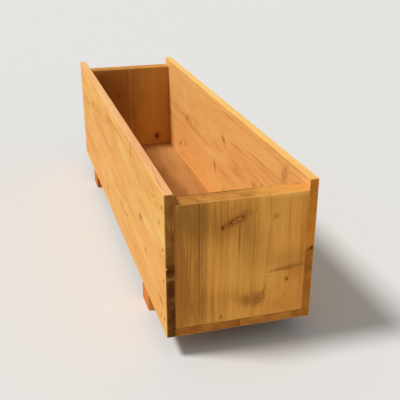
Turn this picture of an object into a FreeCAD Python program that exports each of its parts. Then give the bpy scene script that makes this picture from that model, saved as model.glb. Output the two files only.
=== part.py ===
import FreeCAD, Part
import os
import Sketcher

# A long timber planter box. Each side is two wide boards edge to edge, nailed
# to a thick end panel at each end. The end panels stand on a floor of two
# boards, and two cross feet carry the floor and the sides.
#
# Millimetres. X runs along the box, Y across it with the front at -Y, Z is up.
# The origin is the middle of the footprint, on the ground.

Vector = FreeCAD.Vector
Rotation = FreeCAD.Rotation

doc = FreeCAD.newDocument("window_box_planter")

SIZES = [
    ("board_length", 1216, "side and floor boards, end to end"),
    ("side_thickness", 19, "planed side boards"),
    ("side_board_width", 158, "each of the two boards in a side"),
    ("floor_thickness", 19, "planed floor boards"),
    ("floor_board_width", 138, "each of the two boards in the floor"),
    ("panel_thickness", 44, "end panels"),
    ("rim_drop", 23, "top of an end panel below the top of the sides"),
    ("foot_width", 63, "cross foot, measured along the box"),
    ("foot_height", 44, "cross foot, ground to floor board"),
    ("foot_inset", 215, "end of the box to the middle of a foot"),
    ("arris_radius", 1.6, "sanded edges"),
    ("panel_corner_radius", 5, "rounded top corner of an end panel"),
    ("fit_clearance", 0.1, "hole over shank, on the diameter"),
    ("tip_clearance", 0.5, "blind hole past the fastener's point"),
    ("nail_length", 50, "round-head wire nail, overall"),
    ("nail_diameter", 2.6, "shank"),
    ("nail_head_diameter", 5, "head"),
    ("nail_head_thickness", 1.2, "head"),
    ("nail_point", 4, "taper to the point"),
    ("nail_sink", 0.8, "head punched below the face"),
    ("nail_inset", 20, "nail from the end of a side board"),
    ("nail_edge", 34, "nail from the long edge of a side board"),
    ("screw_diameter", 4.5, "shank"),
    ("screw_head_diameter", 9, "countersunk head"),
    ("screw_head_land", 0.4, "flat rim above the cone of the head"),
    ("screw_point", 6, "taper to the point"),
    ("screw_sink", 1, "head below the face"),
    ("recess_length", 4.8, "cross recess, tip to tip"),
    ("recess_width", 1.1, "cross recess, each arm"),
    ("recess_depth", 2, "cross recess"),
    ("panel_screw_inset", 30, "screw into an end panel, from the end of the box"),
    ("screw_edge", 35, "screw from the long edge of a floor board"),
    ("panel_bite", 40, "screw's grip in an end panel"),
    ("floor_bite", 15, "foot screw's grip in a floor board"),
    ("side_bite", 35, "foot screw's grip in a side board"),
]

sheet = doc.addObject("Spreadsheet::Sheet", "sizes")
for row, (alias, number, note) in enumerate(SIZES, start=1):
    sheet.set("A%d" % row, note)
    sheet.set("B%d" % row, str(number))
    sheet.setAlias("B%d" % row, alias)
doc.recompute()

# Worked-out sizes
LENGTH = "sizes.board_length"
HALF_LENGTH = "sizes.board_length / 2"
TROUGH_WIDTH = "(2 * sizes.floor_board_width)"
HALF_WIDTH = "(sizes.floor_board_width + sizes.side_thickness)"
PANEL_HEIGHT = "(2 * sizes.side_board_width - sizes.floor_thickness - sizes.rim_drop)"
NAIL_HOLE = "(sizes.nail_diameter + sizes.fit_clearance)"
NAIL_HEAD_HOLE = "(sizes.nail_head_diameter + sizes.fit_clearance)"
NAIL_SEAT = "(sizes.nail_sink + sizes.nail_head_thickness)"
NAIL_GRIP = (
    "(sizes.nail_length + sizes.nail_sink"
    " - sizes.side_thickness + sizes.tip_clearance)"
)
SCREW_HOLE = "(sizes.screw_diameter + sizes.fit_clearance)"
COUNTERSINK = (
    "(sizes.screw_head_diameter + 2 * sizes.screw_sink"
    " + 2 * sizes.screw_head_land + sizes.fit_clearance)"
)

pieces = []


def origin_plane(body, role):
    """The body's own origin plane or axis with this role."""
    for feature in body.Origin.OriginFeatures:
        if feature.Role == role:
            return feature
    raise RuntimeError("no " + role)


def new_body(label):
    body = doc.addObject("PartDesign::Body", label)
    body.Label = label
    pieces.append(body)
    return body


def new_sketch(body, name, role, offset=None):
    """A sketch on an origin plane, moved along the plane's normal by an expression."""
    sketch = body.newObject("Sketcher::SketchObject", name)
    sketch.AttachmentSupport = [(origin_plane(body, role), "")]
    sketch.MapMode = "FlatFace"
    if offset:
        sketch.setExpression("AttachmentOffset.Base.z", offset)
    return sketch


def bind(sketch, kind, places, name, expression):
    """A driving constraint whose value follows the sheet."""
    index = sketch.addConstraint(Sketcher.Constraint(kind, *places, 10.0))
    sketch.renameConstraint(index, name)
    sketch.setExpression("Constraints." + name, expression)


def closed_outline(sketch, points):
    """A closed chain of straight lines through rough points, still to be constrained."""
    first = sketch.GeometryCount
    count = len(points)
    for i in range(count):
        start = Vector(*points[i], 0)
        end = Vector(*points[(i + 1) % count], 0)
        sketch.addGeometry(Part.LineSegment(start, end))
    for i in range(count):
        sketch.addConstraint(
            Sketcher.Constraint("Coincident", first + i, 2, first + (i + 1) % count, 1)
        )
        start, end = points[i], points[(i + 1) % count]
        if start[1] == end[1]:
            sketch.addConstraint(Sketcher.Constraint("Horizontal", first + i))
        elif start[0] == end[0]:
            sketch.addConstraint(Sketcher.Constraint("Vertical", first + i))
    return first


def rectangle(sketch, width, height):
    """A rectangle from the origin, its sides given as expressions."""
    line = closed_outline(sketch, [(0, 0), (10, 0), (10, 10), (0, 10)])
    sketch.addConstraint(Sketcher.Constraint("Coincident", line, 1, -1, 1))
    bind(sketch, "DistanceX", (line, 1, line, 2), "width", width)
    bind(sketch, "DistanceY", (line + 1, 1, line + 1, 2), "height", height)


def circles(sketch, centres, diameter):
    """Circles at places measured from the origin, all of one diameter."""
    for i, (across, up) in enumerate(centres):
        start = Vector(10 * i + 5, 10 * i + 5, 0)
        sketch.addGeometry(Part.Circle(start, Vector(0, 0, 1), 1))
        bind(sketch, "DistanceX", (-1, 1, i, 3), "across_%d" % i, across)
        bind(sketch, "DistanceY", (-1, 1, i, 3), "up_%d" % i, up)
        bind(sketch, "Diameter", (i,), "diameter_%d" % i, diameter)


def pad(body, sketch, length, backwards=False):
    feature = body.newObject("PartDesign::Pad", sketch.Name + "_pad")
    feature.Profile = sketch
    feature.Length = 10
    feature.Reversed = backwards
    feature.setExpression("Length", length)
    doc.recompute()
    return feature


def must_cut(body, feature, before):
    """A cut that removes nothing is pointing the wrong way."""
    doc.recompute()
    if feature.Shape.Volume > before - 0.001:
        raise RuntimeError("%s cuts nothing" % feature.Name)


def drill(body, name, role, centres, diameter, depth, along=False, offset=None):
    """Plain round holes of one depth, against the plane's normal or along it."""
    sketch = new_sketch(body, name, role, offset)
    circles(sketch, centres, diameter)
    doc.recompute()
    before = body.Shape.Volume
    feature = body.newObject("PartDesign::Pocket", name + "_pocket")
    feature.Profile = sketch
    feature.Length = 10
    feature.Reversed = along
    feature.setExpression("Length", depth)
    must_cut(body, feature, before)


def countersink(body, name, centres):
    """Through holes with a cone at the underside, for screws driven upwards."""
    sketch = new_sketch(body, name, "XY_Plane")
    circles(sketch, centres, SCREW_HOLE)
    doc.recompute()
    before = body.Shape.Volume
    feature = body.newObject("PartDesign::Hole", name + "_hole")
    feature.Profile = sketch
    feature.Reversed = True
    feature.DepthType = "ThroughAll"
    feature.ThreadType = "None"
    feature.HoleCutType = "Countersink"
    feature.HoleCutCustomValues = True
    feature.HoleCutCountersinkAngle = 90
    feature.setExpression("Diameter", SCREW_HOLE)
    feature.setExpression("HoleCutDiameter", COUNTERSINK)
    must_cut(body, feature, before)


def ease(body, name, radius, wanted):
    """Rounds the edges that pass the test."""
    base = body.Tip
    names = []
    for number, edge in enumerate(base.Shape.Edges, start=1):
        if wanted(edge, base.Shape.BoundBox):
            names.append("Edge%d" % number)
    feature = body.newObject("PartDesign::Fillet", name)
    feature.Base = (base, names)
    feature.Radius = 1
    feature.setExpression("Radius", radius)
    doc.recompute()


def place(body, x, y, z, rotation=Rotation()):
    """Puts a body where the expressions say."""
    body.Placement = FreeCAD.Placement(Vector(), rotation)
    body.setExpression("Placement.Base.x", x)
    body.setExpression("Placement.Base.y", y)
    body.setExpression("Placement.Base.z", z)


def from_far_end(distance):
    return "(sizes.board_length - %s)" % distance


def from_far_edge(distance):
    return "(sizes.floor_board_width - %s)" % distance


# Side boards: outer face at y = 0, ends at x = 0 and x = board_length
def side_board(label, level):
    body = new_body(label)
    outline = new_sketch(body, label + "_face", "XZ_Plane")
    rectangle(outline, LENGTH, "sizes.side_board_width")
    pad(body, outline, "sizes.side_thickness", backwards=True)

    def exposed(edge, box):
        joint_height = box.ZMin if level == "upper" else box.ZMax
        return abs(edge.CenterOfMass.z - joint_height) > 1

    ease(body, label + "_arrises", "sizes.arris_radius", exposed)
    heights = ["sizes.nail_edge", "(sizes.side_board_width - sizes.nail_edge)"]
    ends = ["sizes.nail_inset", from_far_end("sizes.nail_inset")]
    nails = [(end, height) for end in ends for height in heights]
    drill(body, label + "_shanks", "XZ_Plane", nails, NAIL_HOLE, "sizes.side_thickness")
    drill(body, label + "_heads", "XZ_Plane", nails, NAIL_HEAD_HOLE, NAIL_SEAT)
    if level == "lower":
        middle = "(sizes.side_thickness / 2)"
        feet = [
            ("sizes.foot_inset", middle),
            (from_far_end("sizes.foot_inset"), middle),
        ]
        depth = "sizes.side_bite + sizes.tip_clearance"
        drill(body, label + "_pilots", "XY_Plane", feet, SCREW_HOLE, depth, along=True)
    return body


# Floor boards: outer edge at y = 0, underside at z = 0
def floor_board(label):
    body = new_body(label)
    outline = new_sketch(body, label + "_face", "XY_Plane")
    rectangle(outline, LENGTH, "sizes.floor_board_width")
    pad(body, outline, "sizes.floor_thickness")

    def lower_end(edge, box):
        middle = edge.CenterOfMass
        at_end = min(middle.x - box.XMin, box.XMax - middle.x) < 1
        return at_end and middle.z - box.ZMin < 1

    ease(body, label + "_arrises", "sizes.arris_radius", lower_end)
    rows = ["sizes.screw_edge", from_far_edge("sizes.screw_edge")]
    ends = ["sizes.panel_screw_inset", from_far_end("sizes.panel_screw_inset")]
    countersink(body, label + "_panel_screws", [(end, row) for end in ends for row in rows])
    feet = ["sizes.foot_inset", from_far_end("sizes.foot_inset")]
    depth = "sizes.floor_bite + sizes.tip_clearance"
    pilots = [(foot, row) for foot in feet for row in rows]
    drill(body, label + "_pilots", "XY_Plane", pilots, SCREW_HOLE, depth, along=True)
    return body


# End panels: front edge at y = 0, foot of the panel at z = 0, outer face away from x = 0
def end_panel(label):
    body = new_body(label)
    outline = new_sketch(body, label + "_face", "YZ_Plane")
    rectangle(outline, TROUGH_WIDTH, PANEL_HEIGHT)
    pad(body, outline, "sizes.panel_thickness")

    def front_top(edge, box):
        middle = edge.CenterOfMass
        return middle.y - box.YMin < 1 and box.ZMax - middle.z < 1

    def open_edge(edge, box):
        middle = edge.CenterOfMass
        in_face = box.XMin + 1 < middle.x < box.XMax - 1
        on_rounded_corner = in_face and middle.y < (box.YMin + box.YMax) / 2
        return middle.z - box.ZMin > 1 and not on_rounded_corner

    ease(body, label + "_corner", "sizes.panel_corner_radius", front_top)
    ease(body, label + "_arrises", "sizes.arris_radius", open_edge)
    across = "(sizes.panel_thickness - sizes.nail_inset)"
    nails = []
    for board_foot in ("0", "sizes.side_board_width"):
        low = "(%s + sizes.nail_edge - sizes.floor_thickness)" % board_foot
        high = "(%s + sizes.side_board_width - sizes.nail_edge - sizes.floor_thickness)"
        nails += [(across, low), (across, high % board_foot)]
    far_side = "-" + TROUGH_WIDTH
    drill(body, label + "_front_nails", "XZ_Plane", nails, NAIL_HOLE, NAIL_GRIP)
    drill(
        body, label + "_back_nails", "XZ_Plane", nails, NAIL_HOLE, NAIL_GRIP,
        along=True, offset=far_side,
    )
    inset = "(sizes.panel_thickness - sizes.panel_screw_inset)"
    screws = []
    for board_edge in ("0", "sizes.floor_board_width"):
        near = "(%s + sizes.screw_edge)" % board_edge
        far = "(%s + sizes.floor_board_width - sizes.screw_edge)" % board_edge
        screws += [(inset, near), (inset, far)]
    depth = "sizes.panel_bite + sizes.tip_clearance"
    drill(body, label + "_pilots", "XY_Plane", screws, SCREW_HOLE, depth, along=True)
    return body


# Cross feet: one end at y = 0, underside at z = 0
def foot(label):
    body = new_body(label)
    outline = new_sketch(body, label + "_face", "XY_Plane")
    rectangle(outline, "sizes.foot_width", "2 * " + HALF_WIDTH)
    pad(body, outline, "sizes.foot_height")

    def below_top(edge, box):
        return box.ZMax - edge.CenterOfMass.z > 1

    ease(body, label + "_arrises", "sizes.arris_radius", below_top)
    middle = "(sizes.foot_width / 2)"
    centres = [
        (middle, "(sizes.side_thickness / 2)"),
        (middle, "(2 * %s - sizes.side_thickness / 2)" % HALF_WIDTH),
    ]
    for board_edge in ("sizes.side_thickness", HALF_WIDTH):
        far = "(%s + sizes.floor_board_width - sizes.screw_edge)" % board_edge
        centres += [(middle, "(%s + sizes.screw_edge)" % board_edge), (middle, far)]
    countersink(body, label + "_screws", centres)
    return body


# Fasteners: the head's top at z = 0, the point at +Z, a row of two along X
def turned_outline(body, label, places, bindings):
    """Half section of a fastener on its axis, its sizes bound to expressions."""
    sketch = new_sketch(body, label + "_section", "XZ_Plane")
    closed_outline(sketch, places)
    sketch.addConstraint(Sketcher.Constraint("Coincident", 0, 1, -1, 1))
    for kind, line, name, expression in bindings:
        bind(sketch, kind, (-1, 1, line, 2), name, expression)
    doc.recompute()
    shank = body.newObject("PartDesign::Revolution", label + "_turned")
    shank.Profile = sketch
    shank.ReferenceAxis = (sketch, ["V_Axis"])
    shank.Angle = 360
    doc.recompute()
    return shank


def row_of_two(body, label, features, spacing):
    row = body.newObject("PartDesign::LinearPattern", label + "_row")
    row.Originals = features
    row.Direction = (origin_plane(body, "X_Axis"), [""])
    row.Occurrences = 2
    row.Length = 50
    row.setExpression("Length", spacing)
    body.Tip = row
    doc.recompute()


def nail_pair(label, spacing):
    body = new_body(label)
    rough = [(0, 0), (4, 0), (4, 2), (2, 2), (2, 40), (0, 44)]
    sizes = [
        ("DistanceX", 0, "head_radius", "sizes.nail_head_diameter / 2"),
        ("DistanceY", 1, "head_thickness", "sizes.nail_head_thickness"),
        ("DistanceX", 2, "shank_radius", "sizes.nail_diameter / 2"),
        ("DistanceY", 3, "shank_end", "sizes.nail_length - sizes.nail_point"),
        ("DistanceY", 4, "length", "sizes.nail_length"),
    ]
    nail = turned_outline(body, label, rough, sizes)
    row_of_two(body, label, [nail], spacing)
    return body


def recess_arm(body, name, width, height):
    """One arm of the cross recess in a screw head."""
    sketch = new_sketch(body, name, "XY_Plane")
    line = closed_outline(sketch, [(-5, -5), (5, -5), (5, 5), (-5, 5)])
    sketch.addConstraint(Sketcher.Constraint("Symmetric", line, 1, line + 1, 2, -1, 1))
    bind(sketch, "DistanceX", (line, 1, line, 2), "width", width)
    bind(sketch, "DistanceY", (line + 1, 1, line + 1, 2), "height", height)
    doc.recompute()
    before = body.Shape.Volume
    arm = body.newObject("PartDesign::Pocket", name + "_pocket")
    arm.Profile = sketch
    arm.Length = 1
    arm.Reversed = True
    arm.setExpression("Length", "sizes.recess_depth")
    must_cut(body, arm, before)
    return arm


def screw_pair(label, length, spacing):
    body = new_body(label)
    rough = [(0, 0), (8, 0), (8, 1), (3, 5), (3, 40), (0, 46)]
    cone = "(sizes.screw_head_diameter - sizes.screw_diameter) / 2"
    bound = [
        ("DistanceX", 0, "head_radius", "sizes.screw_head_diameter / 2"),
        ("DistanceY", 1, "land", "sizes.screw_head_land"),
        ("DistanceX", 2, "shank_radius", "sizes.screw_diameter / 2"),
        ("DistanceY", 2, "cone_end", "sizes.screw_head_land + " + cone),
        ("DistanceY", 3, "shank_end", length + " - sizes.screw_point"),
        ("DistanceY", 4, "length", length),
    ]
    screw = turned_outline(body, label, rough, bound)
    arms = [
        recess_arm(body, label + "_slot", "sizes.recess_length", "sizes.recess_width"),
        recess_arm(body, label + "_cross_slot", "sizes.recess_width", "sizes.recess_length"),
    ]
    row_of_two(body, label, [screw] + arms, spacing)
    return body


TURNED = Rotation(Vector(0, 0, 1), 180)
ROW_ACROSS = Rotation(Vector(0, 0, 1), 90)
NAILS_IN_FRONT = Rotation(Vector(0, 0, 1), Vector(1, 0, 0), Vector(0, 1, 0))
NAILS_IN_BACK = Rotation(Vector(0, 0, 1), Vector(-1, 0, 0), Vector(0, -1, 0))
PANEL_SCREW = "(sizes.floor_thickness + sizes.panel_bite - sizes.screw_sink)"
FLOOR_SCREW = "(sizes.foot_height + sizes.floor_bite - sizes.screw_sink)"
SIDE_SCREW = "(sizes.foot_height + sizes.side_bite - sizes.screw_sink)"
NAIL_SPACING = "sizes.side_board_width - 2 * sizes.nail_edge"
FLOOR_SPACING = "sizes.floor_board_width - 2 * sizes.screw_edge"

# Side boards
for level in ("lower", "upper"):
    rise = "sizes.foot_height"
    if level == "upper":
        rise = "sizes.foot_height + sizes.side_board_width"
    front = side_board("front_%s_side_board" % level, level)
    place(front, "-" + HALF_LENGTH, "-" + HALF_WIDTH, rise)
    back = side_board("back_%s_side_board" % level, level)
    place(back, HALF_LENGTH, HALF_WIDTH, rise, TURNED)

# Floor boards
front = floor_board("front_floor_board")
place(front, "-" + HALF_LENGTH, "-sizes.floor_board_width", "sizes.foot_height")
back = floor_board("back_floor_board")
place(back, HALF_LENGTH, "sizes.floor_board_width", "sizes.foot_height", TURNED)

# End panels and feet, with the fasteners at their end of the box
PANEL_INNER_FACE = "(sizes.board_length / 2 - sizes.panel_thickness)"
FOOT_SIDE = "(sizes.board_length / 2 - sizes.foot_inset - sizes.foot_width / 2)"
for end, sign, turn in (("right", "", Rotation()), ("left", "-", TURNED)):
    front_sign = "-" if end == "right" else ""
    panel = end_panel(end + "_end_panel")
    panel_rise = "sizes.foot_height + sizes.floor_thickness"
    front_edge = front_sign + "sizes.floor_board_width"
    place(panel, sign + PANEL_INNER_FACE, front_edge, panel_rise, turn)
    batten = foot(end + "_foot")
    place(batten, sign + FOOT_SIDE, front_sign + HALF_WIDTH, "0", turn)

    nail_line = sign + "(sizes.board_length / 2 - sizes.nail_inset)"
    nail_head = "(%s - sizes.nail_sink)" % HALF_WIDTH
    for level, joint in (("lower", "0"), ("upper", "sizes.side_board_width")):
        nail_rise = "sizes.foot_height + %s + sizes.nail_edge" % joint
        name = "%s_%s_%s_nails"
        nails = nail_pair(name % (end, "front", level), NAIL_SPACING)
        place(nails, nail_line, "-" + nail_head, nail_rise, NAILS_IN_FRONT)
        nails = nail_pair(name % (end, "back", level), NAIL_SPACING)
        place(nails, nail_line, nail_head, nail_rise, NAILS_IN_BACK)

    panel_line = sign + "(sizes.board_length / 2 - sizes.panel_screw_inset)"
    foot_line = sign + "(sizes.board_length / 2 - sizes.foot_inset)"
    first_row = {
        "front": "sizes.screw_edge - sizes.floor_board_width",
        "back": "sizes.screw_edge",
    }
    for side, row_start in first_row.items():
        screws = screw_pair("%s_%s_panel_screws" % (end, side), PANEL_SCREW, FLOOR_SPACING)
        head_rise = "sizes.foot_height + sizes.screw_sink"
        place(screws, panel_line, row_start, head_rise, ROW_ACROSS)
        screws = screw_pair("%s_%s_floor_screws" % (end, side), FLOOR_SCREW, FLOOR_SPACING)
        place(screws, foot_line, row_start, "sizes.screw_sink", ROW_ACROSS)
    side_spacing = "2 * sizes.floor_board_width + sizes.side_thickness"
    screws = screw_pair(end + "_side_screws", SIDE_SCREW, side_spacing)
    outer_row = "-(sizes.floor_board_width + sizes.side_thickness / 2)"
    place(screws, foot_line, outer_row, "sizes.screw_sink", ROW_ACROSS)

doc.recompute()
for item in doc.Objects:
    if "Invalid" in item.State or "Error" in item.State:
        raise RuntimeError("%s failed" % item.Name)
for piece in pieces:
    if piece.Shape.isNull() or not piece.Shape.isValid():
        raise RuntimeError("%s has no sound shape" % piece.Label)

os.makedirs("parts", exist_ok=True)
for piece in pieces:
    piece.Shape.exportStep("parts/%s.step" % piece.Label)
    print(piece.Label, len(piece.Shape.Solids), "solid(s)", round(piece.Shape.Volume))
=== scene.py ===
import math

import bpy
import numpy as np
from mathutils import Euler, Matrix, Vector


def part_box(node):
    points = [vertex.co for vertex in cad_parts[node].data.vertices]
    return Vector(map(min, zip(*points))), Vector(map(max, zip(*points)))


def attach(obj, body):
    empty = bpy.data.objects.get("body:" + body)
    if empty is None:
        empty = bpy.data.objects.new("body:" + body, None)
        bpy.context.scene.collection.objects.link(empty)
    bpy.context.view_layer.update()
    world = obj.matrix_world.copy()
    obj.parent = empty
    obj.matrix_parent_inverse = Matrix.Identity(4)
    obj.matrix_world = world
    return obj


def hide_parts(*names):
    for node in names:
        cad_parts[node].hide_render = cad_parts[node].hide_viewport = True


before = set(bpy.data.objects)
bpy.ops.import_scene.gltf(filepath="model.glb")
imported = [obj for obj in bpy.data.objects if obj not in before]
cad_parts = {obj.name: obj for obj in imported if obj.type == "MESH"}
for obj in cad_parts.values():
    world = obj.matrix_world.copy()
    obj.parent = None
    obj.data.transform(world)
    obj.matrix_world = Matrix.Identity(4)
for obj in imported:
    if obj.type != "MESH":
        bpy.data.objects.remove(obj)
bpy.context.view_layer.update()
mm = 0.001
tiny = 1e-9  # metres: as good as no distance


# Node and colour helpers

def paint(red, green, blue):
    # a colour as it looks on screen, 0 to 255, as the shader wants it
    def linear(value):
        share = value / 255
        return share / 12.92 if share < 0.04045 else ((share + 0.055) / 1.055) ** 2.4
    return (linear(red), linear(green), linear(blue), 1.0)


def addNode(tree, kind, inputs=None, **settings):
    node = tree.nodes.new(kind)
    for name, value in settings.items():
        setattr(node, name, value)
    for socket, value in (inputs or {}).items():
        if isinstance(value, bpy.types.NodeSocket):
            tree.links.new(value, node.inputs[socket])
        else:
            node.inputs[socket].default_value = value
    return node


def maths(tree, operation, *values, clamp=False):
    node = addNode(tree, "ShaderNodeMath", dict(enumerate(values)), operation=operation, use_clamp=clamp)
    return node.outputs[0]


def vectorMaths(tree, operation, *values):
    node = addNode(tree, "ShaderNodeVectorMath", dict(enumerate(values)), operation=operation)
    return node.outputs["Value" if operation == "LENGTH" else "Vector"]


def weighted(tree, base, given, weights):
    # base plus each named input times its weight
    total = base
    for name, weight in weights.items():
        total = maths(tree, "MULTIPLY_ADD", given[name], weight, total)
    return total


def fade(tree, value, start, end, low=0.0, high=1.0):
    # smooth change from low to high as value goes from start to end
    inputs = {"Value": value, "From Min": start, "From Max": end, "To Min": low, "To Max": high}
    node = addNode(tree, "ShaderNodeMapRange", inputs, interpolation_type="SMOOTHSTEP")
    return node.outputs["Result"]


def mixColour(tree, amount, first, second):
    node = addNode(tree, "ShaderNodeMix", {"Factor": amount, 6: first, 7: second}, data_type="RGBA")
    return node.outputs[2]  # 6, 7 and 2 are this node's colour sockets


def noise(tree, vector, scale, detail=2.0, roughness=0.5):
    # noise with its own scale on each axis, 0 to 1
    stretched = vectorMaths(tree, "MULTIPLY", vector, scale)
    inputs = {"Vector": stretched, "Scale": 1.0, "Detail": detail, "Roughness": roughness}
    return addNode(tree, "ShaderNodeTexNoise", inputs).outputs["Fac"]


def centredNoise(tree, vector, scale, detail=2.0, roughness=0.5):
    return maths(tree, "SUBTRACT", noise(tree, vector, scale, detail, roughness), 0.5)


def lineNoise(tree, value, scale, detail=2.0):
    # noise along one value, 0 to 1
    inputs = {"W": maths(tree, "MULTIPLY", value, scale), "Scale": 1.0, "Detail": detail}
    return addNode(tree, "ShaderNodeTexNoise", inputs, noise_dimensions="1D").outputs["Fac"]


def newGroup(name, inputs, outputs):
    # inputs: name -> default; a number makes a value socket, three numbers a vector, four a colour
    group = bpy.data.node_groups.new(name, "ShaderNodeTree")
    for socket, default in inputs.items():
        kind = "NodeSocketFloat"
        if isinstance(default, tuple):
            kind = "NodeSocketVector" if len(default) == 3 else "NodeSocketColor"
        made = group.interface.new_socket(socket, in_out="INPUT", socket_type=kind)
        made.default_value = default
    for socket, kind in outputs.items():
        group.interface.new_socket(socket, in_out="OUTPUT", socket_type="NodeSocket" + kind)
    ends = group.nodes.new("NodeGroupInput"), group.nodes.new("NodeGroupOutput")
    return group, ends[0].outputs, ends[1].inputs


def placeGroup(tree, group, inputs):
    return addNode(tree, "ShaderNodeGroup", inputs, node_tree=group).outputs


# Shared wood effects. Place is (along the grain, across the board, through the board), in metres.

seedSteps = (3.17, 7.73, 1.91)  # metres that a seed of 1 moves the figure on each axis


def makeSeedShift():
    # moves the figure to another part of the tree, so that no two boards are alike
    group, given, out = newGroup("seedShift", {"Place": (0.0, 0.0, 0.0), "Seed": 0.0}, {"Place": "Vector"})
    steps = {axis: maths(group, "MULTIPLY", given["Seed"], step) for axis, step in enumerate(seedSteps)}
    shift = addNode(group, "ShaderNodeCombineXYZ", steps).outputs[0]
    group.links.new(vectorMaths(group, "ADD", given["Place"], shift), out["Place"])
    return group


ringForm = {
    "wavers": [((1.5, 5.0, 5.0), 1.0), ((4.5, 15.0, 15.0), 0.32), ((11.0, 44.0, 44.0), 0.08)],  # scale, share
    "unevenScale": 0.21, "unevenYears": 3.2,  # runs of wide years and of narrow ones
    "yearEnds": [(0.0, 0.25), (1.0, 0.25)],   # how dark a year's wood is: at its start and its end,
    "yearBetween": [(0.07, 0.02), (0.45, 0.12), (0.78, 0.62), (0.9, 1.0)],  # and in between
    "faintBelow": 0.25, "faintest": 0.3,      # some years hardly show
    "bandScale": 0.33,                        # bands of many years, paler or darker
}


def makeGrowthRings():
    # rings round the heart of the tree, cut by the board's faces: lines, arches and end-grain arcs
    inputs = {
        "Place": (0.0, 0.0, 0.0), "Figure": (0.0, 0.0, 0.0), "Heart Across": 0.0, "Heart Depth": 0.06,
        "Ring Width": 0.003, "Wander": 0.02, "Push": 0.0,
    }
    group, given, out = newGroup("growthRings", inputs, {"Late": "Float", "Band": "Float"})
    place = addNode(group, "ShaderNodeSeparateXYZ", {0: given["Place"]}).outputs
    across = maths(group, "SUBTRACT", place["Y"], given["Heart Across"])
    depth = maths(group, "SUBTRACT", place["Z"], given["Heart Depth"])
    squares = maths(group, "MULTIPLY_ADD", across, across, maths(group, "MULTIPLY", depth, depth))
    radius = maths(group, "ADD", maths(group, "SQRT", squares), given["Push"])
    for scale, share in ringForm["wavers"]:
        waver = centredNoise(group, given["Figure"], scale, 1.0)
        radius = maths(group, "MULTIPLY_ADD", waver, maths(group, "MULTIPLY", given["Wander"], share), radius)
    count = maths(group, "DIVIDE", radius, given["Ring Width"])
    uneven = lineNoise(group, count, ringForm["unevenScale"])
    count = maths(group, "MULTIPLY_ADD", uneven, ringForm["unevenYears"], count)
    late = addNode(group, "ShaderNodeFloatCurve", {"Value": maths(group, "FRACT", count)})
    curve = late.mapping.curves[0]
    curve.points[0].location, curve.points[1].location = ringForm["yearEnds"]
    for spot in ringForm["yearBetween"]:
        curve.points.new(*spot)
    late.mapping.update()
    year = addNode(group, "ShaderNodeTexWhiteNoise", {"W": maths(group, "FLOOR", count)},
        noise_dimensions="1D").outputs["Value"]
    strength = fade(group, year, ringForm["faintBelow"], 1.0, ringForm["faintest"], 1.0)
    group.links.new(maths(group, "MULTIPLY", late.outputs[0], strength), out["Late"])
    group.links.new(lineNoise(group, count, ringForm["bandScale"], 1.0), out["Band"])
    return group


knotForm = {  # soft edges run from the first number to the second, in shares of the knot's size
    "inside": (0.7, 1.02), "hollow": (0.16, 0.8), "eyeInner": (0.16, 0.42), "eyeOuter": (0.5, 0.82),
    "rimInner": (0.7, 0.88), "rimOuter": (0.94, 1.2), "halo": (0.7, 3.2),
    "hollowLeast": 0.5,      # share of the dark that a pale eye takes away in the very middle
    "uneven": 0.8, "unevenScale": (170.0, 170.0, 60.0), "unevenDetail": 3.0, "unevenRoughness": 0.6,
    "pushFall": -0.3,        # how fast the rings straighten away from the knot
}


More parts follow.
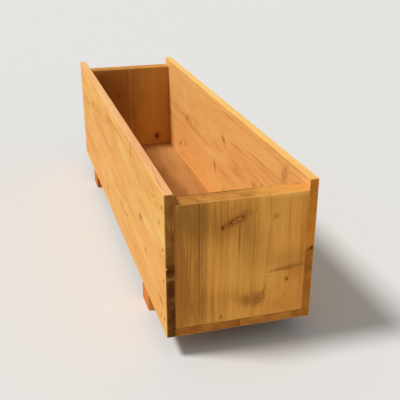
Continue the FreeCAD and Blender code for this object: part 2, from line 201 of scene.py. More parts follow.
def makeKnot():
    # one branch through the board; it adds itself to the knots before it
    inputs = {
        "Place": (0.0, 0.0, 0.0), "Along": 0.0, "Across": 0.0, "Size": 0.006, "Stretch": 1.4, "Turn": 0.0,
        "Dark": 1.0, "Pale Eye": 0.0, "Bend": 1.0,
        "Core": 0.0, "Rim": 0.0, "Eye": 0.0, "Halo": 0.0, "Push": 0.0,
    }
    outputs = {"Core": "Float", "Rim": "Float", "Eye": "Float", "Halo": "Float", "Push": "Float"}
    group, given, out = newGroup("knot", inputs, outputs)
    place = addNode(group, "ShaderNodeSeparateXYZ", {0: given["Place"]}).outputs
    along = maths(group, "SUBTRACT", place["X"], given["Along"])
    across = maths(group, "SUBTRACT", place["Y"], given["Across"])
    cosine, sine = maths(group, "COSINE", given["Turn"]), maths(group, "SINE", given["Turn"])
    long = maths(group, "MULTIPLY_ADD", along, cosine, maths(group, "MULTIPLY", across, sine))
    long = maths(group, "DIVIDE", long, given["Stretch"])
    short = maths(group, "MULTIPLY", across, cosine)
    short = maths(group, "SUBTRACT", short, maths(group, "MULTIPLY", along, sine))
    squares = maths(group, "MULTIPLY_ADD", long, long, maths(group, "MULTIPLY", short, short))
    reach = maths(group, "DIVIDE", maths(group, "SQRT", squares), given["Size"])
    uneven = centredNoise(
        group, given["Place"], knotForm["unevenScale"], knotForm["unevenDetail"], knotForm["unevenRoughness"])
    reach = maths(group, "MULTIPLY_ADD", uneven, knotForm["uneven"], reach)

    def rising(edge, low=0.0):
        return fade(group, reach, *knotForm[edge], low, 1.0)

    def falling(edge):
        return fade(group, reach, *knotForm[edge], 1.0, 0.0)

    ring = maths(group, "MULTIPLY", rising("eyeInner"), falling("eyeOuter"))
    eye = maths(group, "MULTIPLY", ring, given["Pale Eye"])
    hollow = maths(group, "MULTIPLY", rising("hollow", knotForm["hollowLeast"]), given["Pale Eye"])
    core = maths(group, "SUBTRACT", falling("inside"), hollow, clamp=True)
    core = maths(group, "MULTIPLY", core, given["Dark"])
    rim = maths(group, "MULTIPLY", rising("rimInner"), falling("rimOuter"))
    rim = maths(group, "MULTIPLY", rim, given["Dark"])
    halo = maths(group, "MULTIPLY", falling("halo"), given["Dark"])
    fall = maths(group, "MULTIPLY", maths(group, "MULTIPLY", reach, reach), knotForm["pushFall"])
    fall = maths(group, "EXPONENT", fall)
    push = maths(group, "MULTIPLY", maths(group, "MULTIPLY", fall, given["Size"]), given["Bend"])
    for name, level in {"Core": core, "Rim": rim, "Eye": eye, "Halo": halo}.items():
        group.links.new(maths(group, "MAXIMUM", level, given[name]), out[name])
    group.links.new(maths(group, "ADD", push, given["Push"]), out["Push"])
    return group


zoneForm = {"uneven": 0.25, "unevenScale": (14.0, 60.0, 60.0), "unevenDetail": 3.0, "edge": 1.15}


def makeZone():
    # a soft egg-shaped patch of another tone, added to the patches before it; on some boards the patches are
    # painted shade
    inputs = {
        "Place": (0.0, 0.0, 0.0), "Middle": (0.0, 0.0, 0.0), "Reach": (0.1, 0.1, 0.1), "Turn": 0.0,
        "Amount": 0.5, "Sum": 0.0,
    }
    group, given, out = newGroup("zone", inputs, {"Sum": "Float"})
    offset = vectorMaths(group, "SUBTRACT", given["Place"], given["Middle"])
    turned = addNode(group, "ShaderNodeVectorRotate", {"Vector": offset, "Angle": given["Turn"]},
        rotation_type="Z_AXIS").outputs[0]
    distance = vectorMaths(group, "LENGTH", vectorMaths(group, "DIVIDE", turned, given["Reach"]))
    uneven = centredNoise(group, given["Place"], zoneForm["unevenScale"], zoneForm["unevenDetail"])
    distance = maths(group, "MULTIPLY_ADD", uneven, zoneForm["uneven"], distance)
    inside = fade(group, distance, 0.0, zoneForm["edge"], 1.0, 0.0)
    group.links.new(maths(group, "MULTIPLY_ADD", inside, given["Amount"], given["Sum"]), out["Sum"])
    return group


fibreScales = {  # noise scale along, across and through the board; detail
    "Hair": ((7.0, 900.0, 900.0), 3.0), "Streak": ((3.4, 180.0, 180.0), 3.0),
    "Flame": ((4.6, 30.0, 30.0), 1.5), "Blotch": ((3.0, 13.0, 13.0), 2.0),
    "Hue": ((1.6, 7.0, 7.0), 1.0), "Pores": ((700.0, 700.0, 700.0), 2.0),
}
fibreForm = {"roughness": 0.6, "swayScale": 9.0, "sway": (0.0, 0.02, 0.02)}  # the sway in metres


def makeFibre():
    # what a plane and oil bring out along the grain, and the pores of cut ends; each about 0 on average
    outputs = {name: "Float" for name in fibreScales}
    group, given, out = newGroup("fibre", {"Figure": (0.0, 0.0, 0.0)}, outputs)
    inputs = {"Vector": given["Figure"], "Scale": fibreForm["swayScale"], "Detail": 1.0}
    bend = addNode(group, "ShaderNodeTexNoise", inputs).outputs["Color"]
    sway = vectorMaths(group, "MULTIPLY", bend, fibreForm["sway"])
    swayed = vectorMaths(group, "ADD", given["Figure"], sway)
    for name, (scale, detail) in fibreScales.items():
        level = centredNoise(group, swayed, scale, detail, fibreForm["roughness"])
        group.links.new(level, out[name])
    return group


oilForm = {
    "tone": 0.4, "toneBand": 0.3,                  # mean tone, 0 pale to 1 deep; how far bands move it
    "toneWeights": {"Hair": 0.3, "Halo": 0.2, "Darker": 1.0},
    "beyondDeep": (0.95, 1.8), "darkest": (86, 50, 10),
    "hueFrom": (-0.16, 0.2), "hueMost": 0.5,
    "endWeights": {"Darker": 1.0, "Pores": 0.9, "Flame": 0.9},
    "endLight": (236, 164, 78), "endDark": (66, 28, 0), "endDarkening": 0.9,
    "endLightening": (-0.8, 0.1),                  # slope and start over the end grain's level
    "rubbedFrom": (-0.2, 0.2), "rubbedRange": (0.2, 0.6),
    "rough": 0.56,
    "roughWeights": {"Blotch": 0.25, "Late": -0.06, "Hair": 0.12, "End Face": 0.18, "Chip": 0.2},
    "heightWeights": {"Hair": 0.35, "Streak": 0.3, "Late": 0.4, "Rim": -1.0}, "pitDepth": 0.8,
}

overlays = {  # colour and strength of what lies over the figure, from below upwards
    "Halo": ((168, 92, 34), 0.5),
    "Core": ((92, 44, 4), 0.85),
    "Rim": ((62, 28, 2), 0.85),
    "Eye": ((206, 146, 76), 0.6),
    "Rubbed": ((240, 184, 112), 1.0),
    "Chip": ((250, 216, 160), 1.0),
    "Bruise": ((60, 30, 12), 0.8),
}

boardColours = {  # socket of oiledWood -> name in a board's look
    "Pale": "pale", "Middle": "middle", "Deep": "deep",
    "Side Hue": "sideHue", "End": "end", "Tint Tone": "tint",
}
boardLevels = {
    "Rings": "rings", "Flames": "flames", "Blotches": "blotches",
    "Streaks": "streaks", "End Rings": "endRings",
}


def makeOiledWood():
    # puts rings, fibre, knots, patches and wear together: colour, roughness and height
    masks = (
        "Late", "Band", "Hair", "Streak", "Flame", "Blotch", "Hue", "Pores", "Core", "Rim", "Eye", "Halo",
        "Darker", "Tint", "End Face", "Arris", "Bruise", "Chip",
    )
    inputs = {
        **dict.fromkeys(boardColours, (0.5, 0.5, 0.5, 1.0)), **dict.fromkeys((*masks, *boardLevels), 0.0),
    }
    outputs = {"Colour": "Color", "Roughness": "Float", "Height": "Float"}
    group, given, out = newGroup("oiledWood", inputs, outputs)

    mean = oilForm["tone"] - 0.5 * oilForm["toneBand"]
    tone = weighted(group, mean, given, {
        "Late": given["Rings"], "Flame": given["Flames"], "Blotch": given["Blotches"],
        "Streak": given["Streaks"], "Band": oilForm["toneBand"], **oilForm["toneWeights"],
    })
    light = mixColour(group, maths(group, "MULTIPLY", tone, 2.0, clamp=True), given["Pale"], given["Middle"])
    colour = mixColour(group, maths(group, "MULTIPLY_ADD", tone, 2.0, -1.0, clamp=True), light, given["Deep"])
    beyond = fade(group, tone, *oilForm["beyondDeep"])
    colour = mixColour(group, beyond, colour, paint(*oilForm["darkest"]))
    otherHue = fade(group, given["Hue"], *oilForm["hueFrom"], 0.0, oilForm["hueMost"])
    colour = mixColour(group, otherHue, colour, given["Side Hue"])
    colour = mixColour(group, given["Tint"], colour, given["Tint Tone"])

    endLevel = weighted(group, 0.0, given, {"Late": given["End Rings"], **oilForm["endWeights"]})
    lightening = maths(group, "MULTIPLY_ADD", endLevel, *oilForm["endLightening"], clamp=True)
    darkening = maths(group, "MULTIPLY", endLevel, oilForm["endDarkening"], clamp=True)
    endGrain = mixColour(group, lightening, given["End"], paint(*oilForm["endLight"]))
    endGrain = mixColour(group, darkening, endGrain, paint(*oilForm["endDark"]))
    colour = mixColour(group, given["End Face"], colour, endGrain)

    wear = fade(group, given["Streak"], *oilForm["rubbedFrom"], *oilForm["rubbedRange"])
    rubbed = maths(group, "MULTIPLY", given["Arris"], wear)
    for name, (shade, strength) in overlays.items():
        mask = rubbed if name == "Rubbed" else given[name]
        colour = mixColour(group, maths(group, "MULTIPLY", mask, strength), colour, paint(*shade))

    rough = maths(group, "MINIMUM", weighted(group, oilForm["rough"], given, oilForm["roughWeights"]), 1.0)
    pits = maths(group, "MULTIPLY", given["Pores"], given["End Face"])
    height = weighted(group, 0.0, given, oilForm["heightWeights"])
    height = maths(group, "MULTIPLY_ADD", pits, oilForm["pitDepth"], height)
    group.links.new(colour, out["Colour"])
    group.links.new(rough, out["Roughness"])
    group.links.new(height, out["Height"])
    return group


seedShift = makeSeedShift()
growthRings = makeGrowthRings()
knotGroup = makeKnot()
zoneGroup = makeZone()
fibreGroup = makeFibre()
oiledWood = makeOiledWood()
print("wood effects ready")


# Wood material of one board

grainAxes = {  # which box axis runs along the grain, across the board and through it
    "x across z": ("X", "Z", "Y"),
    "x across y": ("X", "Y", "Z"),
    "z across y": ("Z", "Y", "X"),
    "y across x": ("Y", "X", "Z"),
}

woodRelief = {"strength": 0.5, "depth": 0.5 * mm}
endFacing = (0.55, 0.9)  # how far a surface faces along the grain where it turns into end grain


def turnAxes(tree, vector, axes):
    parts = addNode(tree, "ShaderNodeSeparateXYZ", {0: vector}).outputs
    chosen = {number: parts[axis] for number, axis in enumerate(axes)}
    return addNode(tree, "ShaderNodeCombineXYZ", chosen).outputs[0]


def addKnots(tree, place, rows):
    # rows: along, across, size, stretch, turn, dark, pale eye, bend; millimetres and degrees
    knots = {"Core": 0.0, "Rim": 0.0, "Eye": 0.0, "Halo": 0.0, "Push": 0.0}
    for along, across, size, stretch, turn, dark, eye, bend in rows:
        made = placeGroup(tree, knotGroup, {
            "Place": place, "Along": along * mm, "Across": across * mm, "Size": size * mm, "Stretch": stretch,
            "Turn": math.radians(turn), "Dark": dark, "Pale Eye": eye, "Bend": bend, **knots,
        })
        knots = {part: made[part] for part in knots}
    return knots


def addZones(tree, place, rows):
    # rows: middle, reach, turn, amount; millimetres and degrees
    total = 0.0
    for middle, reach, turn, amount in rows:
        total = placeGroup(tree, zoneGroup, {
            "Place": place, "Middle": [value * mm for value in middle],
            "Reach": [value * mm for value in reach],
            "Turn": math.radians(-turn), "Amount": amount, "Sum": total,
        })["Sum"]
    return total


def woodMaterial(name, look):
    material = bpy.data.materials.new(name)
    material.use_nodes = True
    tree = material.node_tree
    tree.nodes.clear()
    axes = grainAxes[look["grain"]]
    where = addNode(tree, "ShaderNodeTexCoord").outputs
    place = turnAxes(tree, where["Object"], axes)
    figure = placeGroup(tree, seedShift, {"Place": place, "Seed": look["seed"]})["Place"]
    knots = addKnots(tree, place, look["knots"])
    rings = placeGroup(tree, growthRings, {
        "Place": place, "Figure": figure, "Heart Across": look["heart"][0] * mm,
        "Heart Depth": look["heart"][1] * mm, "Ring Width": look["ringWidth"] * mm,
        "Wander": look["wander"] * mm, "Push": knots["Push"],
    })
    fibre = placeGroup(tree, fibreGroup, {"Figure": figure})
    facing = addNode(tree, "ShaderNodeSeparateXYZ", {0: turnAxes(tree, where["Normal"], axes)}).outputs["X"]
    marks = {}
    for mark in ("Arris", "Bruise", "Chip"):
        marks[mark] = addNode(tree, "ShaderNodeAttribute", attribute_name=mark.lower()).outputs["Fac"]
    wood = placeGroup(tree, oiledWood, {
        **{socket: paint(*look[colour]) for socket, colour in boardColours.items()},
        **{socket: look[level] for socket, level in boardLevels.items()},
        **{part: rings[part] for part in ("Late", "Band")},
        **{part: fibre[part] for part in fibreScales},
        **{part: knots[part] for part in ("Core", "Rim", "Eye", "Halo")},
        # the patch sums darken the wood; some patches are painted shade
        "Darker": addZones(tree, place, look.get("darker", ())),
        "Tint": addZones(tree, place, look.get("tinted", ())),
        "End Face": fade(tree, maths(tree, "ABSOLUTE", facing), *endFacing), **marks,
    })
    bump = addNode(tree, "ShaderNodeBump", {
        "Height": wood["Height"], "Strength": woodRelief["strength"], "Distance": woodRelief["depth"],
    })
    shader = addNode(tree, "ShaderNodeBsdfPrincipled", {
        "Base Color": wood["Colour"], "Roughness": wood["Roughness"], "Normal": bump.outputs[0],
        "Specular IOR Level": look["shine"],
    })
    addNode(tree, "ShaderNodeOutputMaterial", {"Surface": shader.outputs[0]})
    return material


# Board meshes

boardShape = {
    "spacing": 14 * mm,          # lattice lines on plain faces
    "closest": 0.12 * mm,        # no two lines nearer than this
    "edgeSteps": (0.0, 0.25, 0.6, 1.0, 1.5, 2.2, 3.4),  # lines beside each edge, mm
    "arris": 1.6 * mm,           # mean sanded edge
    "arrisWaver": 0.45,          # share by which it varies
    "waverRun": (1.0, 0.8, 0.9), "waverLength": 0.31, "waverTurns": 1.7,
    "waverParts": 5, "waverShift": 6.3, "waverPeak": 2.3,
    "seamArris": 0.35 * mm,      # where two boards are joined edge to edge
    "seamReach": 3.4 * mm,       # how far from the joint the full arris is back
    "rubbedWidth": 3.4 * mm, "rubbedFall": 1.4,
    "shelteredReach": 6 * mm,    # no wear this near another board
    "panelCorner": 5 * mm,
    "holeBlend": 0.35,           # share of a hole's patch over which circles turn back into squares
    "stainFall": 1.2,
    "dentSteps": (0.0, 0.25, 0.5, 0.75, 1.0, 1.3), "dentEdge": 1.5 * mm, "chipSpread": 1.6,
}

holeShapes = {  # steps: lattice lines beside the middle; then depth at growing distance from it; all mm
    "nail": {
        "steps": (0.0, 0.9, 1.8, 2.5, 2.75, 3.2, 4.0, 5.2, 7.0, 9.0),
        "distances": (2.55, 2.8, 3.3), "depths": (1.1, 0.5, 0.0), "stain": (2.4, 6.0),
    },
    "screw": {
        "steps": (0.0, 2.0, 4.1, 4.35, 4.7, 4.95, 5.95, 6.4, 8.0),
        "distances": (4.15, 4.4, 4.95, 5.95), "depths": (6.0, 1.15, 1.0, 0.0),
    },
}


def gridLines(low, high, finePlaces):
    # even lines, closer at both edges and where a detail needs them
    wanted = []
    for place, steps in [(low, boardShape["edgeSteps"]), (high, boardShape["edgeSteps"]), *finePlaces]:
        wanted += [place + step * mm for step in steps] + [place - step * mm for step in steps]
    wanted = sorted(value for value in wanted if low <= value <= high)
    kept = [wanted[0]]
    for value in wanted[1:]:
        if value - kept[-1] > boardShape["closest"]:
            kept.append(value)
    kept[-1] = high
    lines = []
    for start, end in zip(kept, kept[1:]):
        parts = max(1, math.ceil((end - start) / boardShape["spacing"]))
        lines += [start + (end - start) * part / parts for part in range(parts)]
    return np.array(lines + [high])


def boxSurface(lines):
    # the lattice points on the six faces, and the quads between them, facing out
    shape = tuple(len(line) for line in lines)
    onSurface = np.zeros(shape, bool)
    for axis in range(3):
        edge = [slice(None)] * 3
        edge[axis] = [0, -1]
        onSurface[tuple(edge)] = True
    number = -np.ones(shape, int)
    number[onSurface] = np.arange(onSurface.sum())
    found = np.nonzero(onSurface)
    points = np.stack([lines[axis][found[axis]] for axis in range(3)], 1)
    quads = []
    for axis in range(3):
        for side in (0, -1):
            sheet = np.take(number, side, axis=axis)
            corners = [sheet[:-1, :-1], sheet[1:, :-1], sheet[1:, 1:], sheet[:-1, 1:]]
            if (axis != 1) != (side == -1):
                corners.reverse()
            quads.append(np.stack(corners, -1).reshape(-1, 4))
    return points, np.concatenate(quads)


def wave(values, seed):
    # smooth seeded waviness along a line, about -1 to 1
    rng = np.random.default_rng(seed)
    total = np.zeros_like(values)
    for part in range(1, boardShape["waverParts"] + 1):
        turns = values * 2 * math.pi * part / boardShape["waverLength"] * boardShape["waverTurns"]
        total += np.sin(turns + rng.uniform(0, boardShape["waverShift"])) / part
    return total / boardShape["waverPeak"]


def squareToRound(offset, blend):
    # pulls the lattice squares round a spot into circles, so that holes come out round
    square = np.abs(offset).max(1)
    radius = np.maximum(np.hypot(offset[:, 0], offset[:, 1]), tiny)
    return offset * (1 + blend * (square / radius - 1))[:, None]


def depthBelow(points, low, high, axis, side):
    # distance inwards from one side of the box
    return points[:, axis] - low[axis] if side < 0 else high[axis] - points[:, axis]


def easeEdges(points, low, high, look):
    # a box whose edges are rounded by a radius that is never quite the same
    along = points @ np.array(boardShape["waverRun"])
    radius = boardShape["arris"] * (1 + boardShape["arrisWaver"] * wave(along, int(look["seed"] * 7)))
    for axis, side in look.get("seams", ()):
        share = np.clip(depthBelow(points, low, high, axis, side) / boardShape["seamReach"], 0, 1)
        radius = boardShape["seamArris"] + (radius - boardShape["seamArris"]) * share
    inner = np.clip(points, low + radius[:, None], high - radius[:, None])
    outward = points - inner
    length = np.maximum(np.linalg.norm(outward, axis=1), tiny)
    return inner + outward * (radius / length)[:, None]


def rubbedEdges(points, low, high, look):
    # 1 on the edges that hands and weather reach, 0 away from them and against other boards
    toFace = np.minimum(points - low, high - points)
    for axis, side in [*look.get("seams", ()), *look.get("sheltered", ())]:
        near = depthBelow(points, low, high, axis, side) < boardShape["shelteredReach"]
        toFace[near, axis] = 1.0
    toEdge = np.sort(toFace, 1)[:, 1]
    return np.clip(1 - toEdge / boardShape["rubbedWidth"], 0, 1) ** boardShape["rubbedFall"]


def roundCorner(points, low, high, side):
    # the panel's rounded top corner
    size = boardShape["panelCorner"]
    middle = np.array([(high[1] - size) if side > 0 else (low[1] + size), high[2] - size])
    offset = points[:, 1:] - middle
    inCorner = (offset[:, 0] * side > 0) & (offset[:, 1] > 0)
    points[inCorner, 1:] = (middle + squareToRound(offset, np.ones(len(points))))[inCorner]


def sinkHole(points, flat, low, high, hole):
    # a nail dimple or a screw's countersink; gives back the stain round it
    shape = holeShapes[hole["kind"]]
    axis, side = hole["axis"], hole["side"]
    others = [number for number in range(3) if number != axis]
    face = np.abs(depthBelow(flat, low, high, axis, side)) < tiny
    spot = np.array(hole["at"])[others]
    patch = points[face]
    offset = patch[:, others] - spot
    reach = shape["steps"][-1] * mm
    blend = np.clip((reach - np.abs(offset).max(1)) / (reach * boardShape["holeBlend"]), 0, 1)
    patch[:, others] = spot + squareToRound(offset, blend)
    distance = np.hypot(*(patch[:, others] - spot).T) / mm
    patch[:, axis] -= side * np.interp(distance, shape["distances"], shape["depths"], right=0.0) * mm
    points[face] = patch
    stain = np.zeros(len(points))
    if "stain" in shape:
        start, end = shape["stain"]
        stain[face] = np.clip((end - distance) / (end - start), 0, 1) ** boardShape["stainFall"]
    return stain


def knockIn(points, flat, low, high, dent):
    # a small knock on an edge; gives back how pale it is
    place, size, depth, pale = dent
    place = np.array(place) * mm
    fall = np.clip(1 - (np.linalg.norm(flat - place, axis=1) / (size * mm)) ** 2, 0, 1) ** 2
    atEdge = np.minimum(place - low, high - place) < boardShape["dentEdge"]
    inwards = np.sign((low + high) / 2 - place) * atEdge
    points += fall[:, None] * inwards * depth * mm
    return np.clip(fall * boardShape["chipSpread"], 0, 1) * pale


def fineLines(look):
    # for each axis, the places that need closer lattice lines, with steps in mm
    fine = {0: [], 1: [], 2: []}
    for hole in look.get("holes", ()):
        for axis in range(3):
            if axis != hole["axis"]:
                fine[axis].append((hole["at"][axis], holeShapes[hole["kind"]]["steps"]))
    for place, size, _, _ in look.get("dents", ()):
        for axis in range(3):
            fine[axis].append((place[axis] * mm, [size * share for share in boardShape["dentSteps"]]))
    return fine


def makeBoard(node, look):
    low, high = (np.array(corner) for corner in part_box(node))
    fine = fineLines(look)
    flat, quads = boxSurface([gridLines(low[axis], high[axis], fine[axis]) for axis in range(3)])
    points = easeEdges(flat, low, high, look)
    if "corner" in look:
        roundCorner(points, low, high, look["corner"])
    bruise, chip = np.zeros(len(flat)), np.zeros(len(flat))
    for hole in look.get("holes", ()):
        bruise = np.maximum(bruise, sinkHole(points, flat, low, high, hole))
    for dent in look.get("dents", ()):
        chip = np.maximum(chip, knockIn(points, flat, low, high, dent))

    mesh = bpy.data.meshes.new("planed_" + node)
    mesh.from_pydata(points.tolist(), [], quads.tolist())
    marks = {"arris": rubbedEdges(flat, low, high, look), "bruise": bruise, "chip": chip}
    for name, values in marks.items():
        mesh.attributes.new(name, "FLOAT", "POINT").data.foreach_set("value", values.astype(np.float32))
    mesh.shade_smooth()
    mesh.materials.append(woodMaterial("wood_" + node, look))
    board = bpy.data.objects.new("planed_" + node, mesh)
    bpy.context.scene.collection.objects.link(board)
    board.modifiers.new("evenShading", "WEIGHTED_NORMAL").keep_sharp = True
    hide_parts(node)
    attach(board, "root")


# Where the fasteners are, read from the CAD nodes, each of which holds two in a row

headWidth = {"nail": 5 * mm, "screw": 9 * mm}  # as in the CAD


def nailHoles(node, side):
    # one nail above the other, driven in along y
    low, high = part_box(node)
    middle, half = (low.x + high.x) / 2, headWidth["nail"] / 2
    heights = (low.z + half, high.z - half)
    return [{"kind": "nail", "axis": 1, "side": side, "at": (middle, 0.0, height)} for height in heights]


def screwHoles(node):
    # a row across the box, driven upwards
    low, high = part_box(node)
    middle, half = (low.x + high.x) / 2, headWidth["screw"] / 2
    places = (low.y + half, high.y - half)
    return [{"kind": "screw", "axis": 2, "side": -1, "at": (middle, place, 0.0)} for place in places]


# Side boards. In every look, places are in millimetres in the box's frame. A knot is along, across, size,
# stretch, turn, dark, pale eye, bend. A patch is its middle and its reach, each along, across and through,
# turn, amount. A dent is its place, as x, y, z, its size, depth and paleness. The heart of the tree is across
# and through. A seam is an axis, 0 to 2, and the side of it that is joined to the next board; a sheltered
# side, written the same way, lies against another piece. Corner is the side on which a top corner is rounded.

far = 5000  # a patch this deep goes through the board

sideLook = {
    "grain": "x across z", "slot": "side_board_wood", "shine": 0.06, "tint": (212, 157, 124),
    "pale": (251, 199, 112), "middle": (241, 178, 90), "deep": (216, 135, 68), "sideHue": (240, 162, 90),
    "end": (158, 100, 40), "ringWidth": 3.4, "wander": 44, "rings": 0.42, "flames": 1.1,
    "blotches": 1.1, "streaks": 0.75, "endRings": 0.55,
}

# back boards: a paler, less saturated copy of the side-board colours, painted light for the inside of the
# box, where less light falls
paintedLightBackLook = {
    "pale": (253, 206, 128), "middle": (244, 186, 106), "deep": (216, 146, 76), "sideHue": (242, 174, 96),
    "tint": (226, 184, 96), "wander": 24, "ringWidth": 2.8, "flames": 0.7, "blotches": 1.0, "streaks": 0.9,
}

sideBoards = {
    "front_upper_side_board": {
        **sideLook, "seed": 1.3, "heart": (292, -66), "end": (124, 77, 26), "seams": [(2, -1)],
        "sheltered": [(1, 1)],
        "knots": [
            (372, 214, 5.5, 2.5, 8, 0.5, 0.0, 1.6),
            (280, 336, 2.2, 5.6, 84, 0.5, 0.6, 2.4),
            (-48, 335, 2.4, 5.8, 83, 0.5, 0.6, 2.4),
            (561, 284, 1.6, 4.5, 70, 0.7, 0.0, 0.0),
            (-330, 290, 6, 1.7, 0, 0.35, 0.2, 1.6),
        ],
        "darker": [
            ((548, 360, -152.5), (56, 3, 1.6), 1, 1.4),
            ((470, 360, -146), (34, 3, 1.4), -1, 1.0),
            ((608, 206, -147), (4, 9, far), 0, 0.5),
        ],
        "tinted": [((0, 361, -147), (far, 3.4, far), 0, 0.6)],
        "dents": [
            ((608, -157, 203), 4, 1.2, 1.0),
            ((96, -157, 360), 5, 0.7, 0.1),
            ((-402, -138, 360), 6, 0.8, 0.1),
        ],
    },
    "front_lower_side_board": {
        **sideLook, "seed": 2.1, "heart": (140, -70), "end": (88, 48, 8), "seams": [(2, 1)],
        "sheltered": [(1, 1)],
        "knots": [
            (558, 108, 1.9, 6.0, -17, 1.0, 0.0, 0.5),
            (558, 70, 3, 1.6, 0, 0.35, 0.0, 0.6),
            (414, 151, 4.5, 1.6, 10, 0.3, 0.2, 1.6),
            (-120, 96, 6, 1.6, -8, 0.4, 0.3, 1.6),
            (-470, 160, 4, 1.6, 0, 0.5, 0.0, 1.4),
        ],
        "darker": [
            ((608, 198, -147), (4, 7, far), 0, 0.5),
            ((608, 180, -147), (4, 6, far), 0, -0.4),
        ],
        "dents": [((360, -157, 44), 6, 0.9, 0.1), ((-608, -157, 120), 5, 0.8, 0.1)],
    },
    "back_upper_side_board": {
        **sideLook, **paintedLightBackLook, "seed": 3.7, "heart": (226, 250), "end": (196, 120, 34), "seams": [(2, -1)],
        "sheltered": [(1, -1)],
        "knots": [
            (479, 322, 9, 1.8, 62, 0.3, 0.8, 2.2),
            (55, 268, 5.5, 2.3, -20, 0.45, 0.0, 1.8),
            (295, 228, 4, 1.8, 0, 0.4, 0.2, 2.0),
            (352, 246, 4, 1.6, 0, 0.35, 0.3, 2.0),
            (-322, 222, 9, 1.7, 10, 0.3, 0.2, 1.6),
        ],
        "darker": [
            ((608, 208, 151), (5, 8, 7), 0, 1.0),
            ((608, 204, 144), (5, 5, 5), 0, 0.8),
            # the next two patches are painted shadow: soft dappled shade on the board's faces
            ((20, 240, 140), (90, 30, far), 12, 0.2),
            ((150, 212, 140), (110, 26, far), -8, 0.22),
            ((330, 305.5, 138), (190, 2.2, 30), 0, -0.5),
            ((350, 300, 138), (200, 4.5, 30), 0, 0.4),
            ((380, 284, 138), (160, 10, 30), 0, 0.2),
        ],
        "tinted": [((0, 361, 147), (far, 3.4, far), 0, 0.6)],
        "dents": [((210, 157, 360), 5, 0.8, 0.1), ((-260, 138, 360), 6, 0.7, 0.1)],
    },
    "back_lower_side_board": {
        **sideLook, **paintedLightBackLook, "seed": 4.9, "heart": (128, 240), "end": (166, 100, 30), "seams": [(2, 1)],
        "sheltered": [(1, -1)],
        "knots": [
            (-22, 169, 3.6, 3.2, -62, 0.6, 0.0, 2.4),
            (330, 92, 6, 1.6, 0, 0.5, 0.3, 1.6),
            (-410, 110, 5, 1.6, 0, 0.5, 0.2, 1.4),
        ],
        # this patch is painted shadow: soft dappled shade on the board's faces
        "darker": [((60, 170, 140), (120, 28, far), 6, 0.25)],
        "dents": [((-120, 157, 44), 6, 0.9, 0.1)],
    },
}

for node, look in sideBoards.items():
    face = -1 if node.startswith("front") else 1
    holes = []
    for end in ("right", "left"):
        holes += nailHoles(end + "_" + node.replace("_side_board", "_nails"), face)
    makeBoard(node, {**look, "holes": holes})
print("side boards done")


# Floor boards

# floor boards: a darker copy of the side-board colours, painted shade for the dappled shade on the box floor
paintedShadeFloorLook = {
    "sheltered": [(1, -1), (1, 1), (2, 1)],
    "grain": "x across y", "slot": "floor_board_wood", "shine": 0.06, "tint": (150, 110, 64),
    "pale": (198, 150, 92), "middle": (178, 127, 70), "deep": (146, 96, 46), "sideHue": (174, 119, 64),
    "end": (170, 108, 44), "ringWidth": 3.4, "wander": 44, "rings": 0.4, "flames": 1.2,
    "blotches": 1.1, "streaks": 0.6, "endRings": 0.6,
}

floorBoards = {
    "front_floor_board": {
        **paintedShadeFloorLook, "seed": 5.3, "heart": (-60, 140), "end": (158, 96, 34), "seams": [(1, 1)],
        "knots": [(180, -80, 6, 1.6, 0, 0.5, 0.2, 1.6), (-300, -40, 5, 1.5, 0, 0.4, 0.2, 1.4)],
    },
    "back_floor_board": {
        **paintedShadeFloorLook, "seed": 6.1, "heart": (76, 150), "end": (176, 112, 46), "seams": [(1, -1)],
        "knots": [(-20, 60, 5, 1.6, 0, 0.35, 0.2, 1.6), (420, 96, 4, 1.6, 0, 0.5, 0.2, 1.2)],
    },
}

for node, look in floorBoards.items():
    holes = []
    for end in ("right", "left"):
        holes += screwHoles(end + "_" + node.replace("_floor_board", "_panel_screws"))
    makeBoard(node, {**look, "holes": holes})
print("floor boards done")


# End panels

panelLook = {
    "sheltered": [(1, -1), (1, 1), (2, -1)],
    "grain": "z across y", "slot": "end_panel_wood", "shine": 0.06, "tint": (146, 110, 44),
    "pale": (239, 177, 92), "middle": (219, 151, 65), "deep": (162, 104, 41), "sideHue": (216, 142, 60),
    "end": (206, 140, 62), "ringWidth": 2.5, "wander": 12, "rings": 0.26, "flames": 0.3,
    "blotches": 0.4, "streaks": 0.65, "endRings": 0.8,
}

